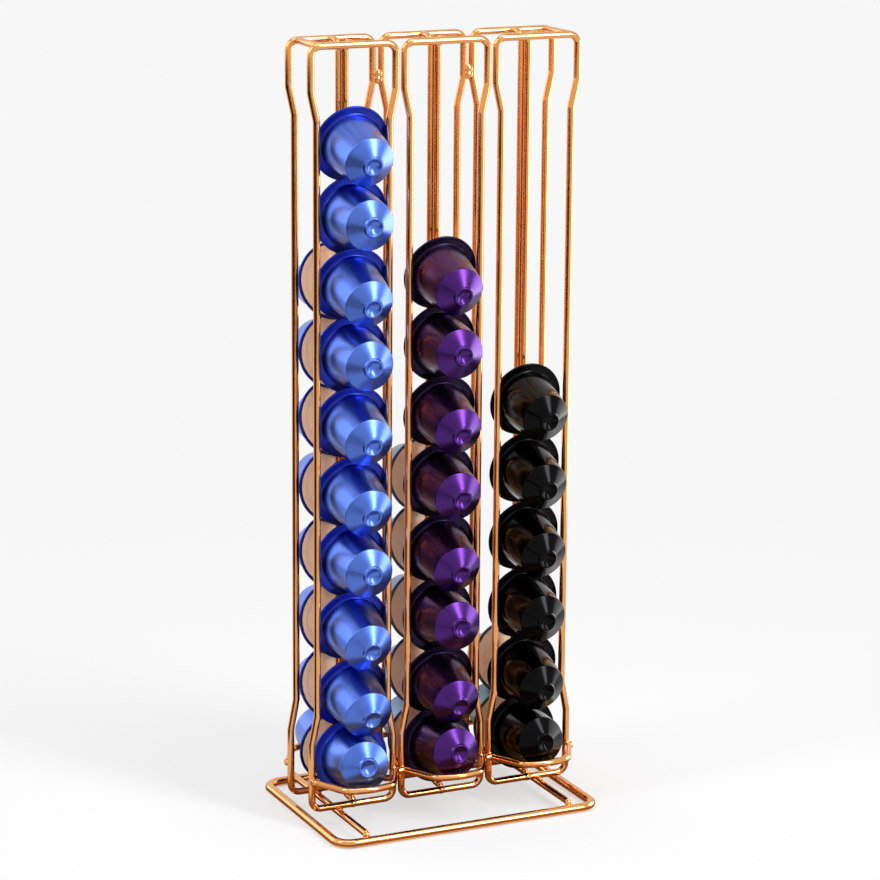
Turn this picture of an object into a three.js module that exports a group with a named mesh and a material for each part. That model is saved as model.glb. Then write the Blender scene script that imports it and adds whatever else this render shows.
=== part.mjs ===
import * as THREE from "three";

// Wire sizes, in millimetres.
const WIRE_D = 3.4;
const BASE_D = 4.4;
const WELD_GAP = 0.15;
const BUTT_GAP = 0.1;
const WIRE_SIDES = 8;
const BEND_STEPS = 3;

// Layout of the rack: three columns, each with a front and a rear channel.
const COLUMN_PITCH = 46.7;
const LOOP_DEPTH = 26;
const LOOP_TOP = 372.7;
const WIDE = 42.2;
const NARROW = 36.4;
const TOP_WIDE_LEN = 21;
const TOP_JOG_LEN = 13;
const BOTTOM_WIDE_LEN = 32;
const BOTTOM_JOG_LEN = 15;
const LOOP_CORNER_R = 4.5;
const JOG_R = 5.4;

// Base loop that lies on the table, with two cross wires between its front and back, a little higher.
const BASE_W = 135.5;
const BASE_L = 93.6;
const BASE_CORNER_R = 8;
const CROSS_X = 53.5;
const CROSS_Z = 5.3;

// Uprights that stand behind the capsule lids, the front and rear ones a little to either side.
const GUIDE_X = 0.8;
const GUIDE_Y = 1.65;
const GUIDE_CORNER_R = 4.5;
const LOW_ARM_LIFT = 1.7;

// Rails that bow out below the lowest noses.
const RAIL_Z = 23.4;
const RAIL_REACH = 21.3;
const RAIL_BOW = 2.2;
const RAIL_SEAT_HALF = 2.45;
const RAIL_FRONT_HALF = 11.6;
const RAIL_SEAT_R = 2.7;
const RAIL_CORNER_R = 7.1;
const RAIL_BOW_R = 22;

// Ties between the front and rear top bars, this far in from the outer uprights.
const TIE_INSET = 4.3;

// Capsule sizes.
const FLANGE_D = 37;
const FLANGE_T = 1.1;
const BODY_D = 28.2;
const SHOULDER_D = 23.7;
const SHOULDER_H = 23;
const SHOULDER_EDGE = 1;
const NOSE_D = 9.4;
const NOSE_EDGE = 0.4;
const DIMPLE_D = 6.2;
const DIMPLE_DEPTH = 1.4;
const CAPSULE_H = 27.9;
const CAPSULE_SIDES = 16;

// How the capsules stand in their channels.
const FLANGE_Y = 8.75;
const REST_GAP = 0.15;

const wireR = WIRE_D / 2;
const baseR = BASE_D / 2;
const planeY = LOOP_DEPTH / 2;
const loopBottom = CROSS_Z + WIRE_D + WELD_GAP;
const armLow = loopBottom + LOW_ARM_LIFT;
const barFace = planeY - wireR - WELD_GAP;
const armTop = armLow + wireR;
const flangeR = FLANGE_D / 2;

const material = {
  copper: new THREE.MeshStandardMaterial({ color: 0xd98a4a, metalness: 1, roughness: 0.18 }),
  blue: new THREE.MeshStandardMaterial({ color: 0x3f63d6, metalness: 0.9, roughness: 0.32 }),
  purple: new THREE.MeshStandardMaterial({ color: 0x4a1480, metalness: 0.9, roughness: 0.32 }),
  black: new THREE.MeshStandardMaterial({ color: 0x17171a, metalness: 0.9, roughness: 0.34 }),
  slate: new THREE.MeshStandardMaterial({ color: 0x6f86a6, metalness: 0.9, roughness: 0.34 }),
  teal: new THREE.MeshStandardMaterial({ color: 0x5b8a96, metalness: 0.9, roughness: 0.34 }),
};

// A corner of a bent wire: a point and the radius of the bend there.
const corner = (x, y, z, radius = 0) => ({ point: new THREE.Vector3(x, y, z), radius });

// Replaces each inner corner of a flat route with points along its bend.
function bendCorners(corners) {
  const points = [];
  corners.forEach(({ point, radius }, i) => {
    if (radius === 0) {
      points.push(point);
      return;
    }
    const before = corners[i - 1].point.clone().sub(point).normalize();
    const after = corners[i + 1].point.clone().sub(point).normalize();
    const half = before.angleTo(after) / 2;
    const cut = radius / Math.tan(half);
    const inward = before.clone().add(after).normalize();
    const centre = point.clone().addScaledVector(inward, radius / Math.sin(half));
    const from = point.clone().addScaledVector(before, cut).sub(centre);
    const to = point.clone().addScaledVector(after, cut).sub(centre);
    const turn = from.angleTo(to);
    const steps = Math.ceil((turn / (Math.PI / 2)) * BEND_STEPS);
    for (let k = 0; k <= steps; k += 1) {
      const a = Math.sin((1 - k / steps) * turn) / Math.sin(turn);
      const b = Math.sin((k / steps) * turn) / Math.sin(turn);
      points.push(centre.clone().addScaledVector(from, a).addScaledVector(to, b));
    }
  });
  return points;
}

// A route read point by point, so that each straight run is a single step.
class WireRoute extends THREE.Curve {
  constructor(points) {
    super();
    this.points = points;
    this.last = points.length - 1;
  }

  getPointAt(u, target = new THREE.Vector3()) {
    return target.copy(this.points[Math.round(u * this.last)]);
  }

  getTangentAt(u, target = new THREE.Vector3()) {
    const i = Math.round(u * this.last);
    const here = this.points[i];
    const into = here.clone().sub(this.points[Math.max(i - 1, 0)]).normalize();
    const away = this.points[Math.min(i + 1, this.last)].clone().sub(here).normalize();
    return target.copy(into).add(away).normalize();
  }
}

// A round wire bent along its corners, with flat facets on its four sides.
function bentWire(corners, radius) {
  const points = bendCorners(corners);
  const outer = radius / Math.cos(Math.PI / WIRE_SIDES);
  const section = [];
  for (let k = 0; k < WIRE_SIDES; k += 1) {
    const angle = ((k + 0.5) / WIRE_SIDES) * 2 * Math.PI;
    section.push(new THREE.Vector2(outer * Math.cos(angle), outer * Math.sin(angle)));
  }
  return new THREE.ExtrudeGeometry(new THREE.Shape(section), {
    steps: points.length - 1,
    extrudePath: new WireRoute(points),
  });
}

// A channel loop: wide at the top window, narrow along the channel, wide at the bottom window.
function channelLoop() {
  const right = [
    corner(BUTT_GAP / 2, 0, loopBottom),
    corner(WIDE / 2, 0, loopBottom, LOOP_CORNER_R),
    corner(WIDE / 2, 0, loopBottom + BOTTOM_WIDE_LEN, JOG_R),
    corner(NARROW / 2, 0, loopBottom + BOTTOM_WIDE_LEN + BOTTOM_JOG_LEN, JOG_R),
    corner(NARROW / 2, 0, LOOP_TOP - TOP_WIDE_LEN - TOP_JOG_LEN, JOG_R),
    corner(WIDE / 2, 0, LOOP_TOP - TOP_WIDE_LEN, JOG_R),
    corner(WIDE / 2, 0, LOOP_TOP, LOOP_CORNER_R),
  ];
  const left = right.map(({ point, radius }) => corner(-point.x, 0, point.z, radius)).reverse();
  return bentWire([...right, ...left], wireR);
}

// A lid guide: an upright near the middle, with arms that end against the top bar and the bottom bar.
function lidGuide(facing) {
  const upright = facing * GUIDE_Y;
  const corners = [
    corner(0, facing * barFace, LOOP_TOP),
    corner(0, upright, LOOP_TOP, GUIDE_CORNER_R),
    corner(0, upright, armLow, GUIDE_CORNER_R),
    corner(0, facing * barFace, armLow),
  ];
  return bentWire(corners, wireR);
}

// A stop rail: one wire against all the uprights, with a bow in front of each column.
function stopRail(facing) {
  const seat = facing * (planeY + WIRE_D + WELD_GAP);
  const reach = facing * (planeY + RAIL_REACH);
  const end = COLUMN_PITCH + WIDE / 2 + wireR;
  const seatX = COLUMN_PITCH / 2 - RAIL_SEAT_HALF;
  const corners = [corner(-end, seat, RAIL_Z)];
  for (const x of [-COLUMN_PITCH, 0, COLUMN_PITCH]) {
    corners.push(
      corner(x - seatX, seat, RAIL_Z, RAIL_SEAT_R),
      corner(x - RAIL_FRONT_HALF, reach, RAIL_Z, RAIL_CORNER_R),
      corner(x, reach + facing * RAIL_BOW, RAIL_Z, RAIL_BOW_R),
      corner(x + RAIL_FRONT_HALF, reach, RAIL_Z, RAIL_CORNER_R),
      corner(x + seatX, seat, RAIL_Z, RAIL_SEAT_R),
    );
  }
  corners.push(corner(end, seat, RAIL_Z));
  return bentWire(corners, wireR);
}

// The base loop, with its butt joint in the middle of the back.
function baseLoop() {
  const x = BASE_W / 2;
  const y = BASE_L / 2;
  const corners = [
    corner(-BUTT_GAP / 2, y, baseR),
    corner(-x, y, baseR, BASE_CORNER_R),
    corner(-x, -y, baseR, BASE_CORNER_R),
    corner(x, -y, baseR, BASE_CORNER_R),
    corner(x, y, baseR, BASE_CORNER_R),
    corner(BUTT_GAP / 2, y, baseR),
  ];
  return bentWire(corners, baseR);
}

// A straight wire that runs from front to back.
function depthWire(halfLength, radius) {
  return bentWire([corner(0, -halfLength, 0), corner(0, halfLength, 0)], radius);
}

// A capsule turned about its axis, from the middle of its lid to the middle of its dimple.
function capsule() {
  const profile = [
    [0, 0],
    [flangeR, 0],
    [flangeR, FLANGE_T],
    [BODY_D / 2, FLANGE_T],
    [SHOULDER_D / 2 + SHOULDER_EDGE / 2, SHOULDER_H - SHOULDER_EDGE],
    [SHOULDER_D / 2, SHOULDER_H],
    [NOSE_D / 2, CAPSULE_H - NOSE_EDGE],
    [DIMPLE_D / 2, CAPSULE_H],
    [DIMPLE_D / 2 - DIMPLE_DEPTH / 2, CAPSULE_H - DIMPLE_DEPTH],
    [0, CAPSULE_H - DIMPLE_DEPTH],
  ].map(([radius, height]) => new THREE.Vector2(radius, height - FLANGE_T / 2));
  return new THREE.LatheGeometry(profile, CAPSULE_SIDES);
}

function place(parent, name, geometry, finish, x = 0, y = 0, z = 0) {
  const mesh = new THREE.Mesh(geometry, finish);
  mesh.name = name;
  mesh.position.set(x, y, z);
  parent.add(mesh);
  return mesh;
}

const holder = new THREE.Group();
const columns = { left: -COLUMN_PITCH, middle: 0, right: COLUMN_PITCH };
const sides = { front: -1, rear: 1 };

// Base.
place(holder, "base_loop", baseLoop(), material.copper);
const baseShoulder = Math.sqrt(baseR ** 2 - (CROSS_Z - wireR - baseR) ** 2);
const crossWire = depthWire(BASE_L / 2 - baseShoulder - WELD_GAP, wireR);
place(holder, "base_cross_wire_left", crossWire, material.copper, -CROSS_X, 0, CROSS_Z);
place(holder, "base_cross_wire_right", crossWire, material.copper, CROSS_X, 0, CROSS_Z);

// Rack wires on each side.
const loop = channelLoop();
for (const [side, facing] of Object.entries(sides)) {
  const guide = lidGuide(facing);
  for (const [column, x] of Object.entries(columns)) {
    place(holder, `${side}_loop_${column}`, loop, material.copper, x, facing * planeY);
    place(holder, `${side}_lid_guide_${column}`, guide, material.copper, x - facing * GUIDE_X);
  }
  place(holder, `${side}_stop_rail`, stopRail(facing), material.copper);
}

// Top ties.
const tieX = COLUMN_PITCH + WIDE / 2 - TIE_INSET;
const tie = depthWire(barFace, wireR);
place(holder, "top_tie_left", tie, material.copper, -tieX, 0, LOOP_TOP);
place(holder, "top_tie_right", tie, material.copper, tieX, 0, LOOP_TOP);

// How far a capsule stands above the one below it, whose flange its body rests on, from the droops of both.
function restStep(upper, lower) {
  const edgeOut = flangeR * Math.sin(lower) + (FLANGE_T / 2) * Math.cos(lower);
  const edgeUp = flangeR * Math.cos(lower) + (FLANGE_T / 2) * Math.abs(Math.sin(lower));
  const along = (edgeOut + (BODY_D / 2) * Math.sin(upper)) / Math.cos(upper);
  const taper = (BODY_D - SHOULDER_D - SHOULDER_EDGE) / 2 / (SHOULDER_H - SHOULDER_EDGE - FLANGE_T);
  const radius = BODY_D / 2 - taper * (along - FLANGE_T / 2);
  return edgeUp + radius * Math.cos(upper) + along * Math.sin(upper);
}

// Capsule stacks: lean to the right, slack at each rest, how far the lowest nose is turned, and the droop of
// each nose, lowest first. Turns and droops are in degrees.
const stacks = [
  ["front", "left", material.blue, 0.6, 0.2, -5, [-6.5, 13.5, 14, 3, 14.5, 13.5, 3, 15.1, 3, 15.1]],
  ["front", "middle", material.purple, -0.4, 0.7, 0, [-7, 14, -1, 14.8, 7.5, 14.8, 2.5, 14.8]],
  ["front", "right", material.black, -1.6, 0.7, 0, [-5, 11, 6.5, 12.2, 12.2, 12.2]],
  ["rear", "left", material.blue, 0.3, 0.2, 0, [-6, 13, 4, 12, 2, 13, 3, 13]],
  ["rear", "middle", material.slate, 0, 0.2, 0, [-6, 13, 5, 13, 4]],
  ["rear", "right", material.teal, -0.3, 0.2, 0, [-6, 13]],
];
const capsuleShape = capsule();
for (const [side, column, finish, lean, slack, turn, droops] of stacks) {
  const stack = new THREE.Group();
  stack.position.set(columns[column] + lean, sides[side] * FLANGE_Y, 0);
  if (side === "front") {
    stack.rotation.z = Math.PI;
  }
  let height = armTop + REST_GAP;
  let below = null;
  droops.forEach((degrees, level) => {
    const droop = THREE.MathUtils.degToRad(degrees);
    height += below === null ? flangeR * Math.cos(droop) + FLANGE_T / 4 : restStep(droop, below) + slack;
    const number = String(level + 1).padStart(2, "0");
    const mesh = place(stack, `${side}_${column}_capsule_${number}`, capsuleShape, finish, 0, 0, height);
    mesh.rotation.x = -droop;
    if (level === 0) {
      mesh.rotation.z = THREE.MathUtils.degToRad(turn);
    }
    below = droop;
  });
  holder.add(stack);
}

export default holder;
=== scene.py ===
import math

import bmesh
import bpy
from mathutils import Matrix, Vector, noise


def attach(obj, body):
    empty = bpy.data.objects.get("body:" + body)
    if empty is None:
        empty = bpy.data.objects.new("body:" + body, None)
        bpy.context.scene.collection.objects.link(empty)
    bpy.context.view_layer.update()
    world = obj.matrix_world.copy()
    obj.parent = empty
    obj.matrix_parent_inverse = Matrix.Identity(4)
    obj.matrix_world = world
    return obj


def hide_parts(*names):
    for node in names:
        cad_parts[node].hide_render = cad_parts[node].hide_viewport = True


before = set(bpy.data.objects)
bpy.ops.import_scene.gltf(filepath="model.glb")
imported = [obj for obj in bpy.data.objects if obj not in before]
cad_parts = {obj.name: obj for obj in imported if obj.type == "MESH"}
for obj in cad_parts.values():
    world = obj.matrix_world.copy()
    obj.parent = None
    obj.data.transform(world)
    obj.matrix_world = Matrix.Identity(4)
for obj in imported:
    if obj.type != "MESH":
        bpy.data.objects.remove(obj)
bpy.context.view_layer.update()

MM = 0.001
SIDES = {"front": -1, "rear": 1}

# Sizes of the rack in millimetres, the same as in the solids.
WIRE_R = 1.7
BASE_R = 2.2
WELD_GAP = 0.15
COLUMN_PITCH = 46.7
PLANE_Y = 13.0
LOOP_TOP = 372.7
WIDE = 42.2
NARROW = 36.4
TOP_WIDE_LEN = 21.0
TOP_JOG_LEN = 13.0
BOTTOM_WIDE_LEN = 32.0
BOTTOM_JOG_LEN = 15.0
LOOP_CORNER_R = 4.5
JOG_R = 5.4
BASE_W = 135.5
BASE_L = 93.6
BASE_CORNER_R = 8.0
CROSS_X = 53.5
CROSS_Z = 5.3
GUIDE_X = 0.8
GUIDE_Y = 1.65
GUIDE_CORNER_R = 4.5
LOW_ARM_LIFT = 1.7
RAIL_Z = 23.4
RAIL_REACH = 21.3
RAIL_BOW = 2.2
RAIL_SEAT_HALF = 2.45
RAIL_FRONT_HALF = 11.6
RAIL_SEAT_R = 2.7
RAIL_CORNER_R = 7.1
RAIL_BOW_R = 22.0
TIE_INSET = 4.3
COLUMNS = {"left": -COLUMN_PITCH, "middle": 0.0, "right": COLUMN_PITCH}

LOOP_BOTTOM = CROSS_Z + 2 * WIRE_R + WELD_GAP
ARM_LOW = LOOP_BOTTOM + LOW_ARM_LIFT
BAR_FACE = PLANE_Y - WIRE_R - WELD_GAP

# Capsule sizes and how the capsules stand, the same as in the solids.
FLANGE_R = 18.5
FLANGE_T = 1.1
CAPSULE_H = 27.9
BODY_R = 14.1
SHOULDER_R = 11.85
SHOULDER_H = 23.0
SHOULDER_EDGE = 1.0
FLANGE_Y = 8.75
ARM_TOP = ARM_LOW + WIRE_R
REST_GAP = 0.15

# Stacks: side, column, colour, lean to the right, slack at each rest, turn of the lowest nose, and the
# droop of each nose, lowest first. Lengths are in millimetres, turns and droops in degrees.
STACKS = [
    ("front", "left", "blue", 0.6, 0.2, -5, [-6.5, 13.5, 14, 3, 14.5, 13.5, 3, 15.1, 3, 15.1]),
    ("front", "middle", "purple", -0.4, 0.7, 0, [-7, 14, -1, 14.8, 7.5, 14.8, 2.5, 14.8]),
    ("front", "right", "black", -1.6, 0.7, 0, [-5, 11, 6.5, 12.2, 12.2, 12.2]),
    ("rear", "left", "blue", 0.3, 0.2, 0, [-6, 13, 4, 12, 2, 13, 3, 13]),
    ("rear", "middle", "slate", 0.0, 0.2, 0, [-6, 13, 5, 13, 4]),
    ("rear", "right", "teal", -0.3, 0.2, 0, [-6, 13]),
]

# How finely the round shapes are cut.
WIRE_SIDES = 24
BEND_DEG = 6
CAPSULE_SEGMENTS = 96
LID_SEGMENTS = 192

# Rounding of a cut wire end, and how much and how far a wire thickens at a butt weld.
END_EDGE = 0.45
SWELL = 0.13
SWELL_LENGTH = 0.9


def add(name, mesh, *materials):
    """Links a mesh as an object with these materials."""
    obj = bpy.data.objects.new(name, mesh)
    bpy.context.scene.collection.objects.link(obj)
    for mat in materials:
        if mat.name not in [m.name for m in mesh.materials]:
            mesh.materials.append(mat)
    return obj


def to_mesh(name, bm):
    """A finished mesh in metres, facing out."""
    bmesh.ops.recalc_face_normals(bm, faces=bm.faces)
    bmesh.ops.scale(bm, vec=(MM, MM, MM), verts=bm.verts)
    mesh = bpy.data.meshes.new(name)
    bm.to_mesh(mesh)
    bm.free()
    return mesh


def bent(corners):
    """Points along a route of (x, y, z, bend radius) corners."""
    points = []
    for i, (x, y, z, radius) in enumerate(corners):
        here = Vector((x, y, z))
        if radius == 0:
            points.append(here)
            continue
        before = (Vector(corners[i - 1][:3]) - here).normalized()
        after = (Vector(corners[(i + 1) % len(corners)][:3]) - here).normalized()
        half = before.angle(after) / 2
        cut = radius / math.tan(half)
        centre = here + (before + after).normalized() * radius / math.sin(half)
        start = here + before * cut - centre
        end = here + after * cut - centre
        turn = start.angle(end)
        steps = max(3, math.ceil(math.degrees(turn) / BEND_DEG))
        for k in range(steps + 1):
            a = math.sin((1 - k / steps) * turn) / math.sin(turn)
            b = math.sin(k / steps * turn) / math.sin(turn)
            points.append(centre + start * a + end * b)
    return points


def tube(name, points, radius, closed=False, swell=None):
    """A round wire along the points. swell is a point where the wire thickens a little, at a butt weld."""
    bm = bmesh.new()
    count = len(points)
    tangents = []
    for i in range(count):
        before = points[i - 1] if closed or i > 0 else points[i]
        after = points[(i + 1) % count] if closed or i < count - 1 else points[i]
        into = (points[i] - before).normalized()
        away = (after - points[i]).normalized()
        tangents.append((into + away).normalized())
    normal = tangents[0].orthogonal().normalized()
    stations = []
    for i in range(count):
        if i > 0:
            normal = tangents[i - 1].rotation_difference(tangents[i]) @ normal
        thick = radius
        if swell is not None:
            thick *= 1 + SWELL * math.exp(-((points[i] - swell).length / SWELL_LENGTH) ** 2)
        stations.append((points[i], tangents[i], normal.copy(), thick))
    if not closed:
        first, last = stations[0], stations[-1]
        edge = []
        for degrees in (0, 30, 60):
            a = math.radians(degrees)
            edge.append((END_EDGE * (1 - math.cos(a)), END_EDGE * (1 - math.sin(a))))
        head = [(first[0] + first[1] * along, first[1], first[2], radius - inset) for along, inset in edge]
        tail = [(last[0] - last[1] * along, last[1], last[2], radius - inset) for along, inset in edge]
        stations[0] = (first[0] + first[1] * END_EDGE, *first[1:])
        stations[-1] = (last[0] - last[1] * END_EDGE, *last[1:])
        stations = head + stations + tail[::-1]
    rings = []
    for centre, tangent, normal, thick in stations:
        across = tangent.cross(normal)
        ring = []
        for k in range(WIRE_SIDES):
            a = 2 * math.pi * k / WIRE_SIDES
            ring.append(bm.verts.new(centre + (normal * math.cos(a) + across * math.sin(a)) * thick))
        rings.append(ring)
    pairs = list(zip(rings, rings[1:]))
    if closed:
        pairs.append((rings[-1], rings[0]))
    for low, high in pairs:
        for k in range(WIRE_SIDES):
            n = (k + 1) % WIRE_SIDES
            bm.faces.new((low[k], low[n], high[n], high[k])).smooth = True
    if not closed:
        bm.faces.new(rings[0][::-1])
        bm.faces.new(rings[-1])
    return to_mesh(name, bm)


def lathe(name, profile, segments=CAPSULE_SEGMENTS, ripple=None):
    """Turns (radius, height) points about +Y. The first and last lie on the axis. ripple lifts points."""
    bm = bmesh.new()
    rings = []
    for radius, height in profile:
        if radius == 0:
            rings.append([bm.verts.new((0, height, 0))])
            continue
        ring = []
        for k in range(segments):
            a = 2 * math.pi * k / segments
            lift = ripple(radius, a) if ripple else 0
            ring.append(bm.verts.new((radius * math.cos(a), height + lift, radius * math.sin(a))))
        rings.append(ring)
    for low, high in zip(rings, rings[1:]):
        for k in range(segments):
            n = (k + 1) % segments
            if len(low) == 1:
                face = (low[0], high[k], high[n])
            elif len(high) == 1:
                face = (low[k], low[n], high[0])
            else:
                face = (low[k], low[n], high[n], high[k])
            bm.faces.new(face).smooth = True
    return to_mesh(name, bm)


def rounded(corners):
    """A profile of (radius, height, rounding) corners as (radius, height) points."""
    route = bent([(r, h, 0, rounding) for r, h, rounding in corners])
    return [(p.x, p.y) for p in route]


class Graph:
    """Short names for building a node material."""

    def __init__(self, name):
        self.mat = bpy.data.materials.new(name)
        self.mat.use_nodes = True
        self.tree = self.mat.node_tree
        self.bsdf = self.tree.nodes["Principled BSDF"]
        self.coords = self.tree.nodes.new("ShaderNodeTexCoord").outputs["Object"]

    def node(self, kind, **settings):
        made = self.tree.nodes.new("ShaderNode" + kind)
        for key, value in settings.items():
            setattr(made, key, value)
        return made

    def link(self, source, target):
        self.tree.links.new(source, target)

    def noise(self, scale, detail, stretch=(1, 1, 1)):
        """Noise in the object's own coordinates."""
        mapping = self.node("Mapping")
        mapping.inputs["Scale"].default_value = stretch
        self.link(self.coords, mapping.inputs["Vector"])
        tex = self.node("TexNoise")
        tex.inputs["Scale"].default_value = scale
        tex.inputs["Detail"].default_value = detail
        self.link(mapping.outputs["Vector"], tex.inputs["Vector"])
        return tex.outputs["Fac"]

    def ramp(self, fac, *stops):
        """A colour from a value, by (place, colour) stops."""
        made = self.node("ValToRGB")
        ramp = made.color_ramp
        while len(ramp.elements) < len(stops):
            ramp.elements.new(0.5)
        for element, (place, colour) in zip(ramp.elements, stops):
            element.position = place
            element.color = (*colour, 1)
        self.link(fac, made.inputs["Fac"])
        return made.outputs["Color"]

    def span(self, value, low, high, start=0.3, end=0.7):
        """A value between low and high as the given one goes from start to end."""
        made = self.node("MapRange")
        for key, number in (("From Min", start), ("From Max", end), ("To Min", low), ("To Max", high)):
            made.inputs[key].default_value = number
        self.link(value, made.inputs["Value"])
        return made.outputs["Result"]

    def bump(self, height, distance, strength, after=None):
        """A normal from a height, on top of an earlier one if there is one."""
        made = self.node("Bump")
        made.inputs["Strength"].default_value = strength
        made.inputs["Distance"].default_value = distance
        self.link(height, made.inputs["Height"])
        if after is not None:
            self.link(after, made.inputs["Normal"])
        return made.outputs["Normal"]

    def set(self, **inputs):
        """Sets or links inputs of the surface. An underscore stands for a space in a name."""
        for key, value in inputs.items():
            socket = self.bsdf.inputs[key.replace("_", " ")]
            if isinstance(value, bpy.types.NodeSocket):
                self.link(value, socket)
            else:
                socket.default_value = value
        return self.mat


def copper():
    """Polished plating with faint clouds, low waves and a fine grain."""
    g = Graph("copper_plate")
    cloud = g.noise(60, detail=3)
    fine = g.noise(900, detail=2)
    colour = g.ramp(cloud, (0.3, (0.72, 0.315, 0.110)), (0.7, (0.81, 0.385, 0.145)))
    wave = g.bump(g.noise(120, detail=1), distance=0.00012, strength=0.12)
    grain = g.bump(fine, distance=0.00001, strength=0.04, after=wave)
    gloss = g.span(fine, low=0.10, high=0.17)
    return g.set(Base_Color=colour, Metallic=1.0, Roughness=gloss, Normal=grain)


# Where the colour of a capsule changes, as parts of its height from the flange to the nose. The darker
# flange band is painted shade, and the side and nose tones stand in for how light falls on them.
SHADED_FLANGE_END = 0.035
SIDE_START = 0.065
SIDE_END = 0.76
NOSE_START = 0.80


def anodised(name, shaded_flange, side, nose, rough, coat):
    """Satin metal with a drawn side; its flange tone is painted shade, and its side and nose tones stand
    in for light.
    """
    g = Graph(name)
    cloud = g.noise(90, detail=3)
    draw = g.noise(700, detail=2, stretch=(1, 0.05, 1))
    place = g.node("SeparateXYZ")
    g.link(g.coords, place.inputs["Vector"])
    along = g.span(place.outputs["Y"], low=0.0, high=1.0, start=0.0, end=CAPSULE_H * MM)
    colour = g.ramp(along, (SHADED_FLANGE_END, shaded_flange), (SIDE_START, side), (SIDE_END, side), (NOSE_START, nose))
    tone = g.node("VectorMath", operation="SCALE")
    g.link(colour, tone.inputs["Vector"])
    g.link(g.span(cloud, low=0.9, high=1.1), tone.inputs["Scale"])
    wave = g.bump(cloud, distance=0.0001, strength=0.10)
    grain = g.bump(draw, distance=0.00001, strength=0.12, after=wave)
    satin = g.span(draw, low=rough - 0.02, high=rough + 0.02)
    return g.set(Base_Color=tone.outputs["Vector"], Metallic=1.0, Normal=grain, Coat_Weight=coat,
                 Roughness=satin, Coat_Roughness=rough * 0.85)


def foil():
    """Lacquered foil with a fine emboss."""
    g = Graph("foil_lid")
    cells = g.node("TexVoronoi")
    cells.inputs["Scale"].default_value = 900
    g.link(g.coords, cells.inputs["Vector"])
    cloud = g.noise(120, detail=3)
    colour = g.ramp(cloud, (0.3, (0.91, 0.69, 0.52)), (0.7, (0.98, 0.77, 0.60)))
    wave = g.bump(cloud, distance=0.0003, strength=0.4)
    emboss = g.bump(cells.outputs["Distance"], distance=0.00012, strength=0.5, after=wave)
    satin = g.span(cloud, low=0.34, high=0.46)
    return g.set(Base_Color=colour, Metallic=0.15, Roughness=satin, Normal=emboss)


COPPER = copper()
FOIL = foil()
# The flange tone of each finish is painted shade; its side and nose tones stand in for how light falls.
FINISH = {
    "blue": anodised("anodised_blue", shaded_flange=(0.014, 0.030, 0.32), side=(0.088, 0.178, 0.68),
                     nose=(0.080, 0.160, 0.58), rough=0.30, coat=0.2),
    "purple": anodised("anodised_purple", shaded_flange=(0.011, 0.004, 0.024), side=(0.074, 0.025, 0.105),
                       nose=(0.056, 0.011, 0.138), rough=0.28, coat=0.18),
    "black": anodised("anodised_black", shaded_flange=(0.004, 0.004, 0.004), side=(0.014, 0.0115, 0.0105),
                      nose=(0.0015, 0.0015, 0.002), rough=0.17, coat=0.13),
    "slate": anodised("anodised_slate", shaded_flange=(0.07, 0.11, 0.19), side=(0.11, 0.17, 0.28),
                      nose=(0.12, 0.18, 0.30), rough=0.34, coat=0.3),
    "teal": anodised("anodised_teal", shaded_flange=(0.04, 0.08, 0.10), side=(0.065, 0.13, 0.16),
                     nose=(0.07, 0.14, 0.17), rough=0.34, coat=0.3),
}


def wire(node, mesh):
    """Shows a smooth wire in place of the node's faceted one."""
    obj = add(node + "_wire", mesh, COPPER)
    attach(obj, "rack")
    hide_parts(node)


def moved(mesh, x, y, z):
    """The mesh itself, moved by millimetres."""
    mesh.transform(Matrix.Translation((x * MM, y * MM, z * MM)))
    return mesh


# A closed wire starts at its butt weld, with points close together there.
WELD_POINTS = (0.0, 0.5, 1.0, 1.6, 2.4)


def channel_loop(name):
    """A closed wire, wide at its top and bottom windows and narrow between them."""
    right = [(x, 0, LOOP_BOTTOM, 0) for x in WELD_POINTS[1:]]
    right += [
        (WIDE / 2, 0, LOOP_BOTTOM, LOOP_CORNER_R),
        (WIDE / 2, 0, LOOP_BOTTOM + BOTTOM_WIDE_LEN, JOG_R),
        (NARROW / 2, 0, LOOP_BOTTOM + BOTTOM_WIDE_LEN + BOTTOM_JOG_LEN, JOG_R),
        (NARROW / 2, 0, LOOP_TOP - TOP_WIDE_LEN - TOP_JOG_LEN, JOG_R),
        (WIDE / 2, 0, LOOP_TOP - TOP_WIDE_LEN, JOG_R),
        (WIDE / 2, 0, LOOP_TOP, LOOP_CORNER_R),
    ]
    left = [(-x, y, z, radius) for x, y, z, radius in reversed(right)]
    butt = (0, 0, LOOP_BOTTOM, 0)
    return tube(name, bent([butt, *right, *left]), WIRE_R, True, Vector(butt[:3]))


def lid_guide(name, facing):
    """An upright behind the lids, with an arm to the loop's top bar and one to its bottom bar."""
    upright = facing * GUIDE_Y
    return tube(name, bent([
        (0, facing * BAR_FACE, LOOP_TOP, 0),
        (0, upright, LOOP_TOP, GUIDE_CORNER_R),
        (0, upright, ARM_LOW, GUIDE_CORNER_R),
        (0, facing * BAR_FACE, ARM_LOW, 0),
    ]), WIRE_R)


def stop_rail(name, facing):
    """One wire across the columns that bows out under the lowest nose of each."""
    seat = facing * (PLANE_Y + 2 * WIRE_R + WELD_GAP)
    reach = facing * (PLANE_Y + RAIL_REACH)
    end = COLUMN_PITCH + WIDE / 2 + WIRE_R
    seat_x = COLUMN_PITCH / 2 - RAIL_SEAT_HALF
    corners = [(-end, seat, RAIL_Z, 0)]
    for x in COLUMNS.values():
        corners += [
            (x - seat_x, seat, RAIL_Z, RAIL_SEAT_R),
            (x - RAIL_FRONT_HALF, reach, RAIL_Z, RAIL_CORNER_R),
            (x, reach + facing * RAIL_BOW, RAIL_Z, RAIL_BOW_R),
            (x + RAIL_FRONT_HALF, reach, RAIL_Z, RAIL_CORNER_R),
            (x + seat_x, seat, RAIL_Z, RAIL_SEAT_R),
        ]
    corners.append((end, seat, RAIL_Z, 0))
    return tube(name, bent(corners), WIRE_R)


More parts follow.
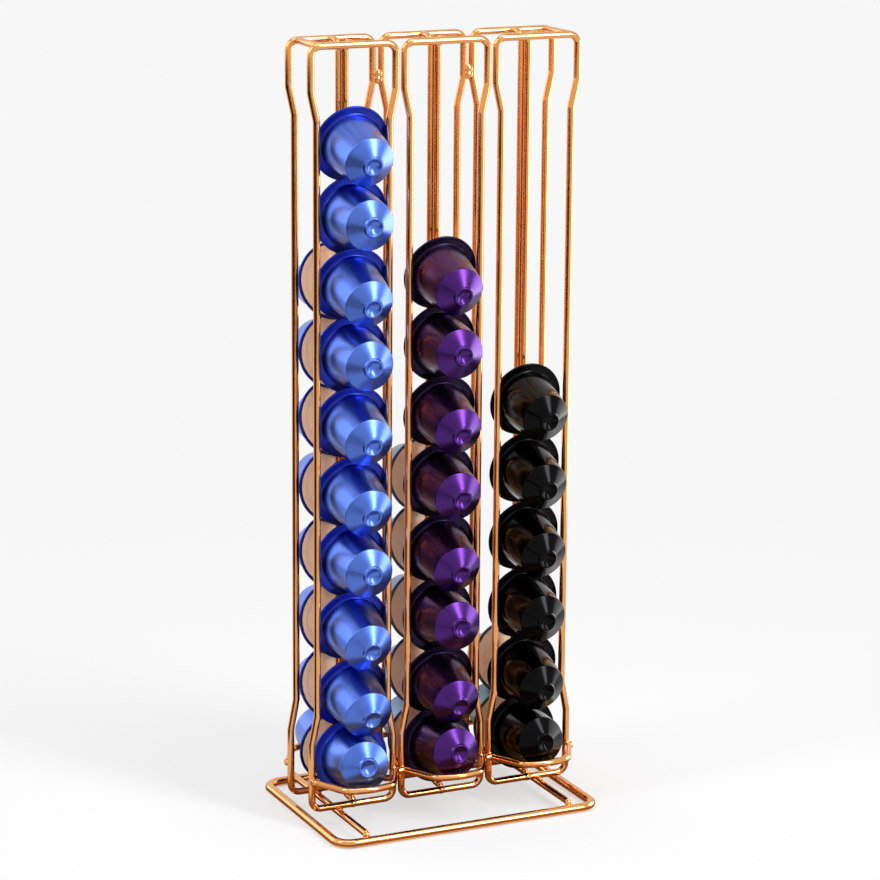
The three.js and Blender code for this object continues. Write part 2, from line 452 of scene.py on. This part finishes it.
def base_loop(name):
    """The rounded rectangle of thicker wire that lies on the table."""
    x, y = BASE_W / 2, BASE_L / 2
    butt = [(-a, y, BASE_R, 0) for a in WELD_POINTS]
    corners = butt + [
        (-x, y, BASE_R, BASE_CORNER_R),
        (-x, -y, BASE_R, BASE_CORNER_R),
        (x, -y, BASE_R, BASE_CORNER_R),
        (x, y, BASE_R, BASE_CORNER_R),
    ] + [(a, y, BASE_R, 0) for a in reversed(WELD_POINTS[1:])]
    return tube(name, bent(corners), BASE_R, True)


def depth_wire(name, half):
    """A straight wire from front to back."""
    return tube(name, [Vector((0, -half, 0)), Vector((0, half, 0))], WIRE_R)


# Wires of the rack.
wire("base_loop", base_loop("base_loop_wire"))
BASE_SHOULDER = math.sqrt(BASE_R ** 2 - (CROSS_Z - WIRE_R - BASE_R) ** 2)
CROSS_HALF = BASE_L / 2 - BASE_SHOULDER - WELD_GAP
for side, x in (("left", -CROSS_X), ("right", CROSS_X)):
    name = "base_cross_wire_" + side
    wire(name, moved(depth_wire(name, CROSS_HALF), x, 0, CROSS_Z))
for side, facing in SIDES.items():
    for column, x in COLUMNS.items():
        name = f"{side}_loop_{column}"
        wire(name, moved(channel_loop(name), x, facing * PLANE_Y, 0))
        name = f"{side}_lid_guide_{column}"
        wire(name, moved(lid_guide(name, facing), x - facing * GUIDE_X, 0, 0))
    name = f"{side}_stop_rail"
    wire(name, stop_rail(name, facing))
TIE_X = COLUMN_PITCH + WIDE / 2 - TIE_INSET
for side, x in (("left", -TIE_X), ("right", TIE_X)):
    name = "top_tie_" + side
    wire(name, moved(depth_wire(name, BAR_FACE), x, 0, LOOP_TOP))


# Welds: radius, flattening and roughness of a nugget. Tacks: radius, heights below the top bar, and inset.
WELD_SIZE = 1.75
WELD_FLAT = 0.5
WELD_ROUGH = 0.10
TACK_SIZE = 2.3
TACK_DROPS = (17.2, 19.6)
TACK_INSET = 1.2
UPWARD = (0, 0, 1)
BACKWARD = (0, 1, 0)


def weld_nugget(bm, place, thin, size, seed):
    """A small lump of weld, flattened along thin."""
    ball = bmesh.ops.create_icosphere(bm, subdivisions=3, radius=1)["verts"]
    turn = Vector(UPWARD).rotation_difference(Vector(thin)).to_matrix()
    for v in ball:
        rough = 1 + WELD_ROUGH * noise.noise(v.co * 1.7 + Vector((seed * 3.1, seed * 1.7, 0)))
        v.co = Vector(place) + turn @ Vector((v.co.x, v.co.y, v.co.z * WELD_FLAT)) * size * rough
    for face in bm.faces:
        face.smooth = True


# Welds where the wires meet.
places = []
half_gap = WELD_GAP / 2
for facing in SIDES.values():
    bar_y = facing * (BAR_FACE + half_gap)
    rail_y = facing * (PLANE_Y + WIRE_R + half_gap)
    for x in COLUMNS.values():
        arm_x = x - facing * GUIDE_X
        places.append(((arm_x, bar_y, LOOP_TOP), BACKWARD))
        places.append(((arm_x, bar_y, LOOP_BOTTOM + LOW_ARM_LIFT / 2), BACKWARD))
        for edge in (-WIDE / 2, WIDE / 2):
            places.append(((x + edge, rail_y, RAIL_Z), BACKWARD))
    for x in (-CROSS_X, CROSS_X):
        places.append(((x, facing * PLANE_Y, CROSS_Z + WIRE_R + half_gap), UPWARD))
        places.append(((x, facing * (CROSS_HALF + half_gap), CROSS_Z - WIRE_R / 2), BACKWARD))
    for x in (-TIE_X, TIE_X):
        places.append(((x, bar_y, LOOP_TOP), BACKWARD))
# Tacks that hold the rear loops to each other at the foot of the top windows.
tacks = []
for x in (-COLUMN_PITCH / 2, COLUMN_PITCH / 2):
    for drop in TACK_DROPS:
        tacks.append(((x, PLANE_Y - TACK_INSET, LOOP_TOP - drop), BACKWARD))
bm = bmesh.new()
for seed, (place, thin) in enumerate(places):
    weld_nugget(bm, place, thin, WELD_SIZE, seed)
for seed, (place, thin) in enumerate(tacks):
    weld_nugget(bm, place, thin, TACK_SIZE, seed)
welds = add("wire_welds", to_mesh("wire_welds", bm), COPPER)
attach(welds, "rack")

# A capsule's shell, from under its lid over the rolled rim to the dimple in its nose: radius, height and
# rounding of each corner.
LID_SEAT = 0.30
POCKET_R = 17.2
RIM_FOOT_R = 17.4
RIM_TOP_R = 17.5
RIM_H = 1.15
STEP_R = 17.3
STEP_H = 0.9
NOSE_EDGE_R = 5.0
NOSE_EDGE_H = 27.1
RING_OUT_R = 4.45
RING_IN_R = 3.7
BOWL_R = 3.35
BOWL_EDGE = 27.45
BOWL_DEPTH = 1.35
BOWL_STEPS = 8
SHELL = [
    (0, LID_SEAT, 0),
    (POCKET_R, LID_SEAT, 0.2),
    (RIM_FOOT_R, 0.0, 0.2),
    (FLANGE_R, 0.0, 0.5),
    (FLANGE_R, RIM_H, 0.5),
    (RIM_TOP_R, RIM_H, 0.25),
    (STEP_R, STEP_H, 0.25),
    (BODY_R + 0.25, STEP_H, 1.2),
    (SHOULDER_R, SHOULDER_H - 0.3, 0.5),
    (NOSE_EDGE_R, NOSE_EDGE_H, 0.5),
    (RING_OUT_R, CAPSULE_H, 0.4),
    (RING_IN_R, CAPSULE_H, 0.4),
    (BOWL_R, BOWL_EDGE, 0),
]
for k in range(BOWL_STEPS - 1, 0, -1):
    r = BOWL_R * k / BOWL_STEPS
    SHELL.append((r, BOWL_EDGE - BOWL_DEPTH * (1 - (r / BOWL_R) ** 2), 0))
SHELL.append((0, BOWL_EDGE - BOWL_DEPTH, 0))
profile = [(r, h - FLANGE_T / 2) for r, h in rounded(SHELL)]
shell_mesh = {slot: lathe("capsule_shell_" + slot, profile) for slot in FINISH}

# Its foil lid, by corners of the same kind: a flat sealed edge, a low dome, and small wrinkles beside
# the seal.
LID_R = 17.1
LID_BACK = LID_SEAT - 0.02
LID_SEAL = 14.9
WRINKLE_R = 13.6
WRINKLE_WIDTH = 1.3
WRINKLE_HEIGHT = 0.05


def wrinkle(radius, angle):
    """How far the wrinkles lift the foil at a place."""
    near = math.exp(-((radius - WRINKLE_R) / WRINKLE_WIDTH) ** 2)
    return near * WRINKLE_HEIGHT * math.sin(31 * angle + 2 * math.sin(5 * angle))


LID = [
    (0, LID_BACK, 0),
    (LID_R, LID_BACK, 0),
    (LID_R, 0.08, 0.06),
    (LID_SEAL, 0.05, 0.3),
    (LID_SEAL - 0.5, 0.16, 0.3),
    (WRINKLE_R, 0.10, 0.5),
    (11.0, -0.10, 6),
    (6.0, -0.28, 12),
    (0, -0.32, 0),
]
lid_profile = [(r, h - FLANGE_T / 2) for r, h in rounded(LID)]
lid_mesh = lathe("capsule_lid", lid_profile, LID_SEGMENTS, wrinkle)


def rest_step(upper, lower):
    """How far a capsule stands above the one below it, whose flange its body rests on."""
    edge_out = FLANGE_R * math.sin(lower) + FLANGE_T / 2 * math.cos(lower)
    edge_up = FLANGE_R * math.cos(lower) + FLANGE_T / 2 * abs(math.sin(lower))
    along = (edge_out + BODY_R * math.sin(upper)) / math.cos(upper)
    taper = (BODY_R - SHOULDER_R - SHOULDER_EDGE / 2) / (SHOULDER_H - SHOULDER_EDGE - FLANGE_T)
    radius = BODY_R - taper * (along - FLANGE_T / 2)
    return edge_up + radius * math.cos(upper) + along * math.sin(upper)


# The stacks of capsules, from the lowest up.
for side, column, slot, lean, slack, turn, droops in STACKS:
    body = f"{side}_{column}_stack"
    home = Matrix.Translation(((COLUMNS[column] + lean) * MM, SIDES[side] * FLANGE_Y * MM, 0))
    if side == "front":
        home = home @ Matrix.Rotation(math.pi, 4, "Z")
    height = ARM_TOP + REST_GAP
    below = None
    for level, degrees in enumerate(droops):
        node = f"{side}_{column}_capsule_{level + 1:02d}"
        droop = math.radians(degrees)
        if below is None:
            height += FLANGE_R * math.cos(droop) + FLANGE_T / 4
        else:
            height += rest_step(droop, below) + slack
        below = droop
        pose = home @ Matrix.Translation((0, 0, height * MM)) @ Matrix.Rotation(-droop, 4, "X")
        if level == 0:
            pose = pose @ Matrix.Rotation(math.radians(turn), 4, "Z")
        shell = add(node + "_shell", shell_mesh[slot], FINISH[slot])
        shell.matrix_world = pose
        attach(shell, body)
        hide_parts(node)
        lid = add(node + "_lid", lid_mesh, FOIL)
        lid.matrix_world = pose
        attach(lid, body)

# Camera, as fitted to the photograph. Its place is in metres.
AZIMUTH = math.radians(25.248)
ELEVATION = math.radians(13.777)
ROLL = math.radians(0.43)
CAMERA_PLACE = Vector((-0.63879, -1.36378, 0.55012))
FOCAL_PX = 3253.267
IMAGE_PX = 880
SENSOR_MM = 36.0
FAR_CLIP = 100
forward = Vector((math.sin(AZIMUTH) * math.cos(ELEVATION), math.cos(AZIMUTH) * math.cos(ELEVATION),
                  -math.sin(ELEVATION)))
level_right = Vector((math.cos(AZIMUTH), -math.sin(AZIMUTH), 0))
level_up = level_right.cross(forward)
right = level_right * math.cos(ROLL) + level_up * math.sin(ROLL)
up = level_up * math.cos(ROLL) - level_right * math.sin(ROLL)
lens = bpy.data.cameras.new("camera")
lens.sensor_width = SENSOR_MM
lens.lens = FOCAL_PX / IMAGE_PX * SENSOR_MM
lens.clip_end = FAR_CLIP
camera = bpy.data.objects.new("camera", lens)
bpy.context.scene.collection.objects.link(camera)
place = Matrix((right, up, -forward)).transposed().to_4x4()
place.translation = CAMERA_PLACE
camera.matrix_world = place
bpy.context.scene.camera = camera

# Studio: a pale floor that fades into a pale background, soft lamps, and sheets that only reflections see.
# Sizes of the floor and the sheets are in millimetres, those of the fade and the lamps in metres.
PALE = (0.93, 0.93, 0.93, 1)
FLOOR_TONE = (0.86, 0.86, 0.86, 1)
AMBIENT = 0.55
FLOOR_R = 8000
FLOOR_SEGMENTS = 96


def seen_directly(tree):
    """1 for camera, glossy and transmitted rays, 0 for the light that falls on things."""
    path = tree.nodes.new("ShaderNodeLightPath")
    total = path.outputs["Is Camera Ray"]
    for name in ("Is Glossy Ray", "Is Transmission Ray"):
        both = tree.nodes.new("ShaderNodeMath")
        both.operation = "MAXIMUM"
        tree.links.new(total, both.inputs[0])
        tree.links.new(path.outputs[name], both.inputs[1])
        total = both.outputs[0]
    return total


world = bpy.data.worlds.new("studio")
bpy.context.scene.world = world
world.use_nodes = True
tree = world.node_tree
tree.nodes.clear()
out = tree.nodes.new("ShaderNodeOutputWorld")
mix = tree.nodes.new("ShaderNodeMixShader")
ambient = tree.nodes.new("ShaderNodeBackground")
ambient.inputs["Color"].default_value = (1, 1, 1, 1)
ambient.inputs["Strength"].default_value = AMBIENT
backdrop = tree.nodes.new("ShaderNodeBackground")
backdrop.inputs["Color"].default_value = PALE
tree.links.new(seen_directly(tree), mix.inputs[0])
tree.links.new(ambient.outputs[0], mix.inputs[1])
tree.links.new(backdrop.outputs[0], mix.inputs[2])
tree.links.new(mix.outputs[0], out.inputs[0])

g = Graph("pale_floor")
g.set(Base_Color=FLOOR_TONE, Roughness=0.9, Specular_IOR_Level=0.0)
glow = g.node("Emission")
glow.inputs["Color"].default_value = PALE
away = g.node("VectorMath", operation="LENGTH")
g.link(g.coords, away.inputs[0])
fade = g.span(away.outputs["Value"], low=0.62, high=1.0, start=0.15, end=0.55)
both = g.node("Math", operation="MULTIPLY")
g.link(fade, both.inputs[0])
g.link(seen_directly(g.tree), both.inputs[1])
floor_mix = g.node("MixShader")
g.link(both.outputs[0], floor_mix.inputs[0])
g.link(g.bsdf.outputs[0], floor_mix.inputs[1])
g.link(glow.outputs[0], floor_mix.inputs[2])
g.link(floor_mix.outputs[0], g.tree.nodes["Material Output"].inputs[0])
bm = bmesh.new()
bmesh.ops.create_circle(bm, cap_ends=True, segments=FLOOR_SEGMENTS, radius=FLOOR_R)
floor = add("floor", to_mesh("floor", bm), g.mat)


LAMP_AIM = Vector((0, 0, 0.2))


def softbox(name, place, width, height, power):
    """A rectangular lamp that faces the middle of the rack."""
    data = bpy.data.lights.new(name, "AREA")
    data.shape = "RECTANGLE"
    data.size = width
    data.size_y = height
    data.energy = power
    obj = bpy.data.objects.new(name, data)
    bpy.context.scene.collection.objects.link(obj)
    obj.location = place
    obj.rotation_euler = (LAMP_AIM - Vector(place)).to_track_quat("-Z", "Y").to_euler()
    return obj


softbox("strip", (0.59, -1.11, 1.02), width=0.30, height=1.3, power=18)
softbox("back_left", (-1.0, 1.2, 0.75), width=1.4, height=1.2, power=6)
softbox("overhead", (0.0, -0.2, 1.7), width=0.8, height=0.8, power=5)
softbox("left", (-1.0, -0.1, 1.15), width=0.25, height=0.8, power=5)
glint = softbox("right", (0.6, -0.05, 0.2), width=0.45, height=0.4, power=2.8)
glint.visible_diffuse = False


CARD_Z = 1.5
CARD_STEPS = 24
DARK = (0.05, 0.016, 0.003, 1)
# Tone of the sheet under the base, which paints shade into the base wires' reflections.
PAINTED_SHADE_TONE = (0.32, 0.18, 0.07, 1)


def floor_card(name, tone, near, far, start, end):
    """A sheet just above the floor that only reflections see, between two angles from the front."""
    bm = bmesh.new()
    inner, outer = [], []
    for k in range(CARD_STEPS + 1):
        a = math.radians(start + (end - start) * k / CARD_STEPS)
        inner.append(bm.verts.new((near * math.sin(a), -near * math.cos(a), CARD_Z)))
        outer.append(bm.verts.new((far * math.sin(a), -far * math.cos(a), CARD_Z)))
    for k in range(CARD_STEPS):
        bm.faces.new((inner[k], outer[k], outer[k + 1], inner[k + 1]))
    mat = Graph(name).set(Base_Color=tone, Roughness=1.0, Specular_IOR_Level=0.0)
    card = add(name, to_mesh(name, bm), mat)
    card.visible_camera = False
    card.visible_diffuse = False
    card.visible_shadow = False
    card.visible_transmission = False


# Painted shade: a mid-brown sheet under the base that darkens the base wires' lower edges in reflections.
floor_card("painted_shade_card", PAINTED_SHADE_TONE, near=1, far=105, start=-180, end=180)
floor_card("left_card", DARK, near=170, far=3600, start=-118, end=-62)
floor_card("front_card", DARK, near=450, far=3600, start=-62, end=-45)
floor_card("far_card", DARK, near=1050, far=2600, start=-45, end=-15)

bpy.context.scene.view_settings.view_transform = "Standard"
